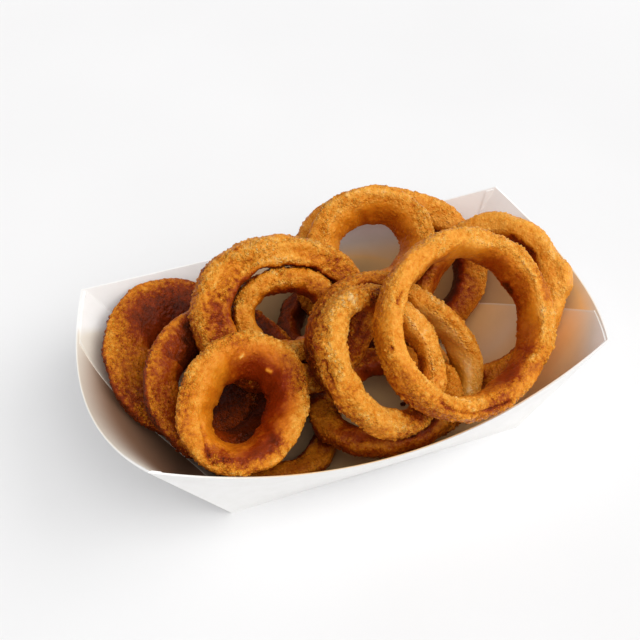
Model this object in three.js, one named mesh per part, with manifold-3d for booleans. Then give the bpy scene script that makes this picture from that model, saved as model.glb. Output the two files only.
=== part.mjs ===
// A paper food tray holding fourteen battered, fried onion rings.
// Millimetres, +Z up. The origin is the middle of the tray's underside, the tray's long
// side runs along X, and the front is towards -Y.
import * as THREE from "three";
import { mergeVertices } from "three/addons/utils/BufferGeometryUtils.js";
import Module from "manifold-3d";

// ---- driving dimensions of the tray ----
const BOARD = 0.6; // thickness of the paperboard
const BASE_LENGTH = 142; // flat bottom, outside
const BASE_WIDTH = 98.5;
const RIM_LENGTH = 214; // between the rim's corners
const RIM_WIDTH = 116;
const CORNER_HEIGHT = 55;
const SIDE_BOW = 16; // how far a long side's rim bows out at its middle
const SIDE_DIP = 16.5; // and how much lower it is there
const END_BOW = 14; // the same two for the short ends
const END_DIP = 11;
const WALL_INSET = 0.75; // horizontal thickness of the leaning walls
const EAR_RISE = 0.5; // a glued flap stands this far off the wall inside
const EAR_TOP = 0.985; // its share of the wall's height
const EAR_ROWS = 8; // divisions up an ear and across it
const EAR_COLUMNS = 10;
const EAR_AT_RIM = -0.58; // an ear's edge along the end wall, -1 and 1 are the corners
const EAR_AT_BASE = 0.84;
const TAB_AT_RIM = 0.965; // a narrow tab beside a corner of a long side
const TAB_AT_FOOT = 0.998;
const TAB_FOOT = 0.76; // and the height at which it runs out
const TAB_ROWS = 3;
const TAB_COLUMNS = 2;
const SIDE_STEPS = 20; // divisions along a long side, an end and up a wall
const END_STEPS = 14;
const WALL_STEPS = 2;

// ---- what all rings share ----
const AROUND = 40; // divisions along a ring and round its section
const SECTION = 10;
const SQUARENESS = 2.6; // exponent of the superellipse section
const LUMP = 0.35; // height of the batter's broad lumps
const CRAG = 0.2; // height of its fine crags
const WAVES = [3, 7, 12]; // lumps along a whole ring, in three sizes
const DROP_REACH = 50; // half the stretch of a band that hangs deeper, in degrees
const HALF_TURN = 180;
const FADE_POWER = 4; // how abruptly marks and drops end

// Each ring: where its middle is, which way its axis turns (heading) and how far it leans
// from upright (lean), in degrees; outer radius, radial thickness (wall), length along
// the axis (tall); how oval it is and in which direction; how much it opens like a cone;
// how much lower its inner edge lies than its outer one (dish); how much further down the
// band reaches on one side (drop), and on which.
// A mark is a groove (rise below 0) or a nub in the crust: turn says where it is round
// the ring, side where it is round the section (0 outside, 90 top, 180 inside), long and
// wide how far it reaches along and across the band, all in degrees.
const RINGS = [
  // front left, standing thick and half open like a funnel
  { middle: [-59.5, -35, 52], heading: -85, lean: 27, radius: 28, wall: 13, tall: 19,
    oval: 0.12, ovalTurn: 135, cone: 0.5,
    marks: [{ turn: 297, side: 108, long: 40, wide: 40, rise: -1 }] },
  // the smaller ring in front of the middle
  { middle: [4, -39.9, 62.5], heading: -51, lean: 42, radius: 33.5, wall: 11.5, tall: 12.5,
    oval: 0.05, ovalTurn: 170, cone: -0.1,
    marks: [
      { turn: 218, side: 0, long: 9, wide: 40, rise: 1.6 },
      { turn: 42, side: 144, long: 50, wide: 60, rise: -1 },
    ] },
  // the big ring on top at the right
  { middle: [43.5, -37.5, 68.5], heading: -61, lean: 39, radius: 44, wall: 11, tall: 18,
    oval: 0.1, ovalTurn: 90, cone: 0.15,
    marks: [{ turn: 317, side: 72, long: 70, wide: 40, rise: -1.3 }] },
  // the deep ring just behind those two
  { middle: [17.1, -22.5, 42.7], heading: -78, lean: 52, radius: 39.2, wall: 10, tall: 17,
    oval: 0.19, ovalTurn: 38, cone: 0.2 },
  // low at the front, under the middle
  { middle: [10, -31, 24.6], heading: 130, lean: 8, radius: 34.5, wall: 13.5, tall: 11,
    oval: 0.05, ovalTurn: 40, cone: 0.1 },
  // flat on the bottom at the left
  { middle: [-39.5, -12.5, 7.5], heading: 180, lean: 0, radius: 35.5, wall: 13, tall: 11,
    oval: 0.08, ovalTurn: 70, cone: 0.2 },
  // left, behind the funnel ring
  { middle: [-58.7, -7.9, 38.3], heading: -50, lean: 32, radius: 39, wall: 18, tall: 13,
    oval: 0.08, ovalTurn: 85, cone: 0.35, dish: 3 },
  // far left, against the end wall, its band hanging deeper at the back
  { middle: [-70.5, 18.5, 32.5], heading: -43, lean: 21, radius: 41, wall: 24, tall: 12,
    oval: 0.11, ovalTurn: 125, cone: 0.4, dish: 7, drop: 6, dropTurn: 82 },
  // upper left, large, with a double ridge
  { middle: [-24.6, 6.1, 57.4], heading: -84, lean: 43, radius: 40, wall: 14, tall: 12.5,
    oval: 0.1, ovalTurn: 70, cone: -0.2,
    marks: [
      { turn: 185, side: 100, long: 140, wide: 40, rise: -1.4 },
      { turn: 244, side: 180, long: 96, wide: 110, rise: 3.5 },
    ] },
  // the small ring inside it
  { middle: [-23.6, 7.7, 55.2], heading: -98, lean: 40, radius: 23.7, wall: 11, tall: 15.5,
    oval: 0.09, ovalTurn: 85, cone: 0.1,
    marks: [{ turn: 261, side: 0, long: 9, wide: 50, rise: 1.4 }] },
  // low at the back, mostly hidden
  { middle: [8, 30.5, 19.5], heading: -172, lean: 21, radius: 27.5, wall: 10.5, tall: 13.5,
    oval: 0.02, ovalTurn: 155, cone: 0.05 },
  // upper back, funnel shaped
  { middle: [29.5, 36.5, 57], heading: -103, lean: 34, radius: 27.5, wall: 12, tall: 18,
    oval: 0.07, ovalTurn: 105, cone: 0.45 },
  // the large one that stands behind it against the back wall
  { middle: [42, 41.5, 34.5], heading: -97, lean: 49, radius: 44.4, wall: 15, tall: 13.5,
    oval: 0.14, ovalTurn: 75, cone: 0.15 },
  // far right, against the end wall, pulled out to a blunt corner
  { middle: [74.5, 0.5, 37], heading: -141, lean: 43, radius: 40.5, wall: 12, tall: 15,
    oval: 0.09, ovalTurn: 175, cone: 0,
    marks: [{ turn: 127, side: 0, long: 22, wide: 90, rise: 3.5 }] },
];
const CRUST = [
  0xc8792c, 0xd0832f, 0xd88c33, 0xc67a2a, 0xa8621f, 0xa05c20, 0xb56c2a,
  0xb0682a, 0xc67c2e, 0xcf8a3a, 0x8f4f1c, 0xc9802f, 0xb8702a, 0xdb9436,
];

const CRUST_ROUGHNESS = 0.62;
const PAPER = 0xf4f2ee;
const PAPER_ROUGHNESS = 0.7;

const radians = THREE.MathUtils.degToRad;
const degrees = THREE.MathUtils.radToDeg;

// A point of the wall's face: along runs from -1 to 1 between two corners, up from 0 at
// the base to 1 at the rim, and inset moves the face inwards.
function sidePoint(side, along, up, inset, foot) {
  const middle = 1 - along * along;
  const halfLength = THREE.MathUtils.lerp(BASE_LENGTH, RIM_LENGTH, up) / 2 - inset;
  const rimHalf = RIM_WIDTH / 2 + SIDE_BOW * middle;
  const halfWidth = THREE.MathUtils.lerp(BASE_WIDTH / 2, rimHalf, up) - inset;
  const height = THREE.MathUtils.lerp(foot, CORNER_HEIGHT - SIDE_DIP * middle, up);
  return new THREE.Vector3(along * halfLength, side * halfWidth, height);
}

function endPoint(side, along, up, inset, foot) {
  const middle = 1 - along * along;
  const halfWidth = THREE.MathUtils.lerp(BASE_WIDTH, RIM_WIDTH, up) / 2 - inset;
  const rimHalf = RIM_LENGTH / 2 + END_BOW * middle;
  const halfLength = THREE.MathUtils.lerp(BASE_LENGTH / 2, rimHalf, up) - inset;
  const height = THREE.MathUtils.lerp(foot, CORNER_HEIGHT - END_DIP * middle, up);
  return new THREE.Vector3(side * halfLength, along * halfWidth, height);
}

// One level line round the four walls, anticlockwise seen from above.
function wallLoop(up, inset, foot) {
  const loop = [];
  for (let i = 0; i < SIDE_STEPS; i += 1) {
    loop.push(sidePoint(-1, (2 * i) / SIDE_STEPS - 1, up, inset, foot));
  }
  for (let i = 0; i < END_STEPS; i += 1) {
    loop.push(endPoint(1, (2 * i) / END_STEPS - 1, up, inset, foot));
  }
  for (let i = 0; i < SIDE_STEPS; i += 1) {
    loop.push(sidePoint(1, 1 - (2 * i) / SIDE_STEPS, up, inset, foot));
  }
  for (let i = 0; i < END_STEPS; i += 1) {
    loop.push(endPoint(-1, 1 - (2 * i) / END_STEPS, up, inset, foot));
  }
  return loop;
}

const AXES = 3;

// A geometry from points and triangles, with shared vertices merged.
function solidGeometry(points, triangles) {
  const geometry = new THREE.BufferGeometry();
  const positions = points.flatMap((point) => [point.x, point.y, point.z]);
  geometry.setAttribute("position", new THREE.Float32BufferAttribute(positions, AXES));
  geometry.setIndex(triangles);
  return mergeVertices(geometry);
}

// Joins closed loops of equal length into a skin, each loop to the next.
function skinLoops(loops) {
  const count = loops[0].length;
  const points = loops.flat();
  const triangles = [];
  for (let row = 0; row + 1 < loops.length; row += 1) {
    for (let i = 0; i < count; i += 1) {
      const next = (i + 1) % count;
      const a = row * count + i;
      const b = row * count + next;
      const c = (row + 1) * count + next;
      const d = (row + 1) * count + i;
      triangles.push(a, b, c, a, c, d);
    }
  }
  return { points, triangles };
}

// The shell of the tray: up the outside, over the rim, down the inside, and its floor.
function trayShell() {
  const loops = [];
  for (let row = 0; row <= WALL_STEPS; row += 1) {
    loops.push(wallLoop(row / WALL_STEPS, 0, 0));
  }
  for (let row = WALL_STEPS; row >= 0; row -= 1) {
    loops.push(wallLoop(row / WALL_STEPS, WALL_INSET, BOARD));
  }
  const { points, triangles } = skinLoops(loops);
  const count = loops[0].length;
  const lastRow = points.length - count;
  const under = points.push(new THREE.Vector3(0, 0, 0)) - 1;
  const floor = points.push(new THREE.Vector3(0, 0, BOARD)) - 1;
  for (let i = 0; i < count; i += 1) {
    const next = (i + 1) % count;
    triangles.push(under, next, i);
    triangles.push(floor, lastRow + i, lastRow + next);
  }
  return solidGeometry(points, triangles);
}

// A flap glued to the inside of a wall: a plate between the board's middle and EAR_RISE
// inside the wall. The rows run up the wall, and each spans from one edge to the other.
function flapPlate(pointAt, rows, columns, edges) {
  const loops = [];
  for (let row = 0; row <= rows; row += 1) {
    const { up, from, to } = edges(row / rows);
    const outer = [];
    const inner = [];
    for (let i = 0; i <= columns; i += 1) {
      const along = THREE.MathUtils.lerp(from, to, i / columns);
      outer.push(pointAt(along, up, BOARD / 2, BOARD / 2));
      inner.push(pointAt(along, up, WALL_INSET + EAR_RISE, BOARD / 2));
    }
    loops.push([...outer, ...inner.reverse()]);
  }
  const { points, triangles } = skinLoops(loops);
  const count = loops[0].length;
  const top = points.length - count;
  for (let i = 0; i < columns; i += 1) {
    const j = count - 1 - i;
    triangles.push(i, j, i + 1, j, j - 1, i + 1);
    triangles.push(top + i, top + i + 1, top + j, top + j, top + i + 1, top + j - 1);
  }
  return solidGeometry(points, triangles);
}

// The ear covers the end wall from the corner of one long side to a slanting edge.
function endEar(side) {
  const pointAt = (along, up, inset, foot) => endPoint(side, side * along, up, inset, foot);
  const edges = (share) => {
    const up = share * EAR_TOP;
    return { up, from: -1, to: THREE.MathUtils.lerp(EAR_AT_BASE, EAR_AT_RIM, up) };
  };
  return flapPlate(pointAt, EAR_ROWS, EAR_COLUMNS, edges);
}

// The tab is a sliver on a long side that starts at the corner and runs out lower down.
function sideTab(side) {
  const pointAt = (along, up, inset, foot) => sidePoint(side, side * along, up, inset, foot);
  const edges = (share) => {
    const up = THREE.MathUtils.lerp(TAB_FOOT, EAR_TOP, share);
    return { up, from: THREE.MathUtils.lerp(TAB_AT_FOOT, TAB_AT_RIM, share), to: 1 };
  };
  return flapPlate(pointAt, TAB_ROWS, TAB_COLUMNS, edges);
}

const wasm = await Module();
wasm.setup();

function toManifold(geometry) {
  const mesh = new wasm.Mesh({
    numProp: AXES,
    vertProperties: new Float32Array(geometry.attributes.position.array),
    triVerts: new Uint32Array(geometry.index.array),
  });
  return new wasm.Manifold(mesh);
}

function fromManifold(solid) {
  const mesh = solid.getMesh();
  const geometry = new THREE.BufferGeometry();
  const position = new THREE.Float32BufferAttribute(mesh.vertProperties, AXES);
  geometry.setAttribute("position", position);
  geometry.setIndex([...mesh.triVerts]);
  return geometry;
}

// Signed power that squares off a cosine or sine.
function squared(value) {
  return Math.sign(value) * Math.abs(value) ** (2 / SQUARENESS);
}

// A repeatable random sequence between -1 and 1, by a linear congruential generator.
const STATES = 2 ** 32;
const STATE_FACTOR = 1664525;
const STATE_STEP = 1013904223;
function seededRandom(seed) {
  let state = seed;
  return () => {
    state = (state * STATE_FACTOR + STATE_STEP) % STATES;
    return (2 * state) / STATES - 1;
  };
}

// How strongly a mark acts at an angle to its middle: 1 there, and fading out past the
// given half reach, all in degrees.
function fade(angle, reach) {
  const apart = THREE.MathUtils.euclideanModulo(angle + HALF_TURN, 2 * HALF_TURN) - HALF_TURN;
  return Math.exp(-((apart / reach) ** FADE_POWER));
}

function markRise(marks, turn, side) {
  return marks.reduce((sum, mark) => {
    const along = fade(degrees(turn) - mark.turn, mark.long / 2);
    return sum + mark.rise * along * fade(degrees(side) - mark.side, mark.wide / 2);
  }, 0);
}

// A ring's skin: a rounded-square section carried round an oval, with broad lumps as sums
// of sines along and across the band, and crags that differ from point to point.
function ringGeometry(ring, seed) {
  const random = seededRandom(seed);
  const phases = WAVES.map(() => [random() * Math.PI, random() * Math.PI]);
  const halfWall = ring.wall / 2;
  const halfTall = ring.tall / 2;
  const { marks = [], dish = 0, drop = 0, dropTurn = 0 } = ring;
  const loops = [];
  for (let i = 0; i < AROUND; i += 1) {
    const turn = (2 * Math.PI * i) / AROUND;
    const oval = 1 + ring.oval * Math.cos(2 * (turn - radians(ring.ovalTurn)));
    const middle = (ring.radius - halfWall) * oval;
    const deeper = drop * fade(degrees(turn) - dropTurn, DROP_REACH);
    const loop = [];
    for (let j = 0; j < SECTION; j += 1) {
      const angle = (-2 * Math.PI * j) / SECTION;
      const lumps = WAVES.map((waves, k) => {
        const [shift, twist] = phases[k];
        return LUMP * Math.sin(waves * turn + shift) * Math.cos((k + 1) * angle + twist);
      });
      const uneven = lumps.reduce((sum, lump) => sum + lump, CRAG * random());
      const lump = uneven + markRise(marks, turn, angle);
      const across = squared(Math.cos(angle));
      const upward = squared(Math.sin(angle));
      const radius = middle + (halfWall + lump) * across + ring.cone * halfTall * upward;
      const rise = (halfTall + lump + (upward < 0 ? deeper : 0)) * upward;
      const height = rise - (dish * (1 - across)) / 2;
      loop.push(new THREE.Vector3(radius * Math.cos(turn), radius * Math.sin(turn), height));
    }
    loops.push(loop);
  }
  const { points, triangles } = skinLoops([...loops, loops[0]]);
  return solidGeometry(points, triangles);
}

function crustMaterial(color) {
  return new THREE.MeshStandardMaterial({ color, roughness: CRUST_ROUGHNESS, metalness: 0 });
}

const group = new THREE.Group();

const flaps = [endEar(1), endEar(-1), sideTab(1), sideTab(-1)];
const traySolid = flaps.reduce(
  (solid, flap) => solid.add(toManifold(flap)),
  toManifold(trayShell()),
);
const paper = new THREE.MeshStandardMaterial({
  color: PAPER,
  roughness: PAPER_ROUGHNESS,
  metalness: 0,
});
const tray = new THREE.Mesh(fromManifold(traySolid), paper);
tray.name = "paper_tray";
group.add(tray);

const heap = new THREE.Group();
RINGS.forEach((ring, index) => {
  const number = String(index + 1).padStart(2, "0");
  const mesh = new THREE.Mesh(ringGeometry(ring, index + 1), crustMaterial(CRUST[index]));
  mesh.name = `onion_ring_${number}`;
  mesh.position.set(...ring.middle);
  mesh.rotation.set(0, radians(ring.lean), radians(ring.heading), "ZYX");
  heap.add(mesh);
});
group.add(heap);

export default group;
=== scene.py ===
"""A paper food tray with fourteen battered, fried onion rings, as a Blender add-on.

Lengths in the tables and formulas are millimetres; make_piece turns them to metres. The
origin is the middle of the tray's underside, X runs along the tray, the front is at -Y.
"""
import functools
import itertools
import math

import bpy
import numpy as np
from bpy.props import FloatProperty, FloatVectorProperty, PointerProperty
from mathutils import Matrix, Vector


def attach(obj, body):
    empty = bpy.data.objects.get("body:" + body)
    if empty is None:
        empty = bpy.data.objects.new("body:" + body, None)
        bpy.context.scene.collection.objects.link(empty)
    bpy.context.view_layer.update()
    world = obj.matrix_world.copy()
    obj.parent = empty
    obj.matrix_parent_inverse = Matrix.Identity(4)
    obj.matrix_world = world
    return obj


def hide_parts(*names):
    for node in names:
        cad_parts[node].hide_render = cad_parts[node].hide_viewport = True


bl_info = {
    "name": "Onion rings in a paper tray",
    "version": (1, 0, 0),
    "blender": (4, 5, 0),
    "location": "3D View > Sidebar > Onion rings",
    "description": "Builds a heap of battered onion rings in a folded paper food tray",
    "category": "Object",
}

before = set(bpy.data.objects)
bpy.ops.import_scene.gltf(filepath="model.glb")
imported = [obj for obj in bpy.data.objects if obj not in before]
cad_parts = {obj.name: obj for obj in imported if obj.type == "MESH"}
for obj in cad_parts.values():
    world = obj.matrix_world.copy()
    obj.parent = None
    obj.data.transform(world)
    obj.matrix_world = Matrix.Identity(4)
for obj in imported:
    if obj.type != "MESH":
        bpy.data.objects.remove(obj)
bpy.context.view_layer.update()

MM = 0.001
BODY = "root"
TAU = 2 * math.pi

# ---- the tray's dimensions, as in the solid ----
BOARD = 0.6
HALF_LENGTHS = (71, 107)  # at the base and at the rim
HALF_WIDTHS = (49.25, 58)
CORNER_HEIGHT = 55
# Walls: half their length and how far out they stand, each at the base and at the rim, how
# far the rim bows out in the middle, and how far it dips.
SIDE_WALL = (HALF_LENGTHS, HALF_WIDTHS, 16, 16.5)
END_WALL = (HALF_WIDTHS, HALF_LENGTHS, 14, 11)
WALL_INSET = 0.75
EAR_RISE = 0.5
EAR_TOP = 0.985
EAR_AT = (0.84, -0.58)  # how far along the end wall an ear reaches at the base and the rim
TAB_AT = (0.998, 0.965)  # where along the side wall a tab begins at its foot and its top
TAB_FOOT = 0.76

# ---- divisions of the tray's surfaces ----
SIDE_STEPS = 120
END_STEPS = 128
WALL_STEPS = 40
FLAP_STEPS = 48
FOLD = math.radians(30)  # sharper folds are not shaded smooth
ROUNDS = 4  # how often the height of a bowed wall is solved for

# ---- the fat and painted shade in the paper; lengths in millimetres, heights as shares of CORNER_HEIGHT ----
# near the food the fat is partly a painted shadow of the rings
FAT_AND_SHADE_REACH = (38, 2)  # distance from the food at which it begins, and is full
FAT_FAR = 0.4  # its share out of that reach
FAT_PATCHES = (18, 901)  # size and seed of the noise that makes the reach uneven
FAT_UNEVEN = 5
FAT_TOP = (1, 0.7)  # height at which it begins, in general and on the back wall
FAT_FULL = (0.6, 0.35)  # height below which it is full, likewise
BACK_WALL = (35, 50)
# the left end is painted deeper in shade: LEFT_SHADE_FACTOR scales it right and left of
# LEFT_END, and towards LEFT_SHADE_END the colour turns to a duller beige
LEFT_END = (-20, -70)
LEFT_SHADE_FACTOR = (0.7, 1.6)  # its factor right and left of that
LEFT_SHADE_END = (-40, -80)
FLAP_TAKES = 0.6  # what the flaps take of it
# Along the ears' cut edges the flaps take less of it, a painted highlight where the edge
# catches the light
CUT_EDGE = 0.8  # how wide the flaps' cut edge shows
CUT_EDGE_HIGHLIGHT = 0.4

# ---- the rings' shared form, as in the solids ----
SQUARENESS = 2.6
LUMP = 0.35
WAVES = (3, 7, 12)
DROP_REACH = 50
STATES = 2**32
STATE_FACTOR = 1664525
STATE_STEP = 1013904223

# Each ring: middle; heading and lean of its axis, degrees; outer radius, radial thickness
# (wall) and length along the axis (tall); how oval, and in which direction; how much it
# opens like a cone; its tone, browner below 0 and more golden above.
RING_KEYS = ("middle", "heading", "lean", "radius", "wall", "tall", "oval", "oval_turn",
             "cone", "tone")
RING_ROWS = (
    ((-59.5, -35, 52), -85, 27, 28, 13, 19, 0.12, 135, 0.5, 0.0),
    ((4, -39.9, 62.5), -51, 42, 33.5, 11.5, 12.5, 0.05, 170, -0.1, 0.05),
    ((43.5, -37.5, 68.5), -61, 39, 44, 11, 18, 0.1, 90, 0.15, 0.0),
    ((17.1, -22.5, 42.7), -78, 52, 39.2, 10, 17, 0.19, 38, 0.2, -0.1),
    ((10, -31, 24.6), 130, 8, 34.5, 13.5, 11, 0.05, 40, 0.1, -0.2),
    ((-39.5, -12.5, 7.5), 180, 0, 35.5, 13, 11, 0.08, 70, 0.2, -0.35),
    ((-58.7, -7.9, 38.3), -50, 32, 39, 18, 13, 0.08, 85, 0.35, -0.56),
    ((-70.5, 18.5, 32.5), -43, 21, 41, 24, 12, 0.11, 125, 0.4, -0.4),
    ((-24.6, 6.1, 57.4), -84, 43, 40, 14, 12.5, 0.1, 70, -0.2, 0.0),
    ((-23.6, 7.7, 55.2), -98, 40, 23.7, 11, 15.5, 0.09, 85, 0.1, 0.02),
    ((8, 30.5, 19.5), -172, 21, 27.5, 10.5, 13.5, 0.02, 155, 0.05, -0.75),
    ((29.5, 36.5, 57), -103, 34, 27.5, 12, 18, 0.07, 105, 0.45, 0.0),
    ((42, 41.5, 34.5), -97, 49, 44.4, 15, 13.5, 0.14, 75, 0.15, -0.06),
    ((74.5, 0.5, 37), -141, 43, 40.5, 12, 15, 0.09, 175, 0, 0.14),
)
# Two more: dish, how much lower a ring's inner edge lies than its outer one, and drop, how
# much deeper the band hangs round drop_turn.
DISHED = {
    7: dict(dish=3),
    8: dict(dish=7, drop=6, drop_turn=82),
}
RINGS = [dict(zip(RING_KEYS, row)) | DISHED.get(number, {})
         for number, row in enumerate(RING_ROWS, 1)]
# Grooves (rise below 0) and nubs of rings: turn round the ring, side round the section (0
# outside, 90 top, 180 inside), their reach along and across, and their rise.
MARKS = {
    1: ((297, 108, 40, 40, -1),),
    2: ((218, 0, 9, 40, 1.6), (42, 144, 50, 60, -1)),
    3: ((317, 72, 70, 40, -1.3),),
    9: ((185, 100, 140, 40, -1.4), (244, 180, 96, 110, 3.5)),
    10: ((261, 0, 9, 50, 1.4),),
    14: ((127, 0, 22, 90, 3.5),),
}

# How each ring's inner face, towards its hole, is painted in shade: where across the band
# that begins, from 1 outside to -1 inside, how much darker the inner face is painted than the
# rest (below 0 it is painted lighter), and how grainy the crust is.
INSIDES = {
    1: (0.25, 0.42, 1.2), 2: (-0.5, 0.2, 1.2), 3: (-0.5, 0.15, 0.85), 4: (-0.3, -0.8, 1.1),
    5: (-0.5, 0.3, 0.6), 6: (-0.5, 0.3, 0.6), 7: (0.7, 0.3, 0.95), 8: (0.5, 0.6, 0.95),
    9: (-0.5, 0.3, 1.15), 10: (-0.4, 0.3, 1.15), 11: (-0.5, 0.3, 0.7), 12: (-0.35, 0.0, 1.1),
    13: (-0.3, 0.4, 0.8), 14: (-0.5, 0.25, 0.7),
}
# The painted shade on inner faces is deepest on the side of the hole at SHADED_SIDE, in
# degrees from +X, whose inner face looks away from the lamps, and keeps SHADED_REST of that
# on the other.
SHADED_SIDE = 5
SHADED_REST = 0.2
INNER_SHADE_DEPTH = 1.6  # how deep the painted shade of an inner face goes
# Painted light and shade by how a place faces: lighter where it faces LIT_SIDE, towards the
# lamps, darker where it faces away; and painted shade where another ring lies SHUT_IN in front
# of it: from SHUT_RANGE's first distance to that ring's skin to its second.
LIT_SIDE = (0.45, -0.3, 0.84)
LIT_RANGE = 0.34
LIT_FLOOR = -0.45
LIT_BASE = -0.19
SHUT_IN = 6
SHUT_RANGE = (4, -3)
TONE_RANGE = (-0.92, 1)

# ---- the crust's relief ----
# Noises of the crust: the size of their cubes in millimetres, and what is added to
# SEEDS_APART times the ring's number as their seed.
SEEDS_APART = 100
NOISES = {
    "broad": (8, 1), "middling": (4.5, 2), "small": (2.2, 3), "fine": (1.1, 4),
    "crumbly": (9, 5), "grains": (2.0, 6), "finer_grains": (1.4, 7), "clouds": (14, 8),
    "patches": (4, 9), "toast": (1.3, 10), "toasted": (12, 11), "paths": (2, 12),
    "across": (5, 13), "warp_x": (3, 40), "warp_y": (3, 41), "warp_z": (3, 42),
}
GRAIN_SHARES = {"grains": 0.4, "finer_grains": 0.5}
WARP = 0.8
# How much each of them lightens the crust where it stands proud and darkens it in its
# creases, partly its own colour and partly painted highlight and shade; toast darkens it.
TONES = {
    "clouds": 0.09, "patches": 0.07, "middling": 0.07, "small": 0.12, "fine": 0.12,
    "grain": 0.26, "edge": 0.12, "crest": 0.1, "toast": 0.3,
}
RELIEF_RANGE = (-2, 1.3)
TRAY_GAP = 0.12
SECTION_GIRTH = 1.9  # a section's girth over the sum of wall and tall
BILLOW_MEAN = 0.6
GRAIN_RADII = (0.22, 0.5)  # as shares of their cube
# Shares across the band, from 1 outside to -1 inside: where its inner face begins and is
# full, the middle and breadth of the crest before it, and how uneven all that is.
INNER_FACE = (-0.5, -0.9)
CREST = (-0.62, 0.2)
ACROSS_UNEVEN = 0.12
FACE_RELIEF = 0.4  # what the inner face keeps of the relief, and of the grains
FACE_GRAINS = 0.5
CALM_INSIDE = 0.75
CRUMBLY_RANGE = (-0.2, 0.5)
CRUMBLY_EDGE = 0.4  # how much crumblier its rounded edges are
SMOOTH_GRAINS = 0.3  # what is left of grains and roughness where it isn't crumbly
SMOOTH_ROUGH = 0.55
TOAST_RANGE = (0.75, 0.95)
TOAST_PATCHES = 0.25
PATH_UNEVEN = 0.35

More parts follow.
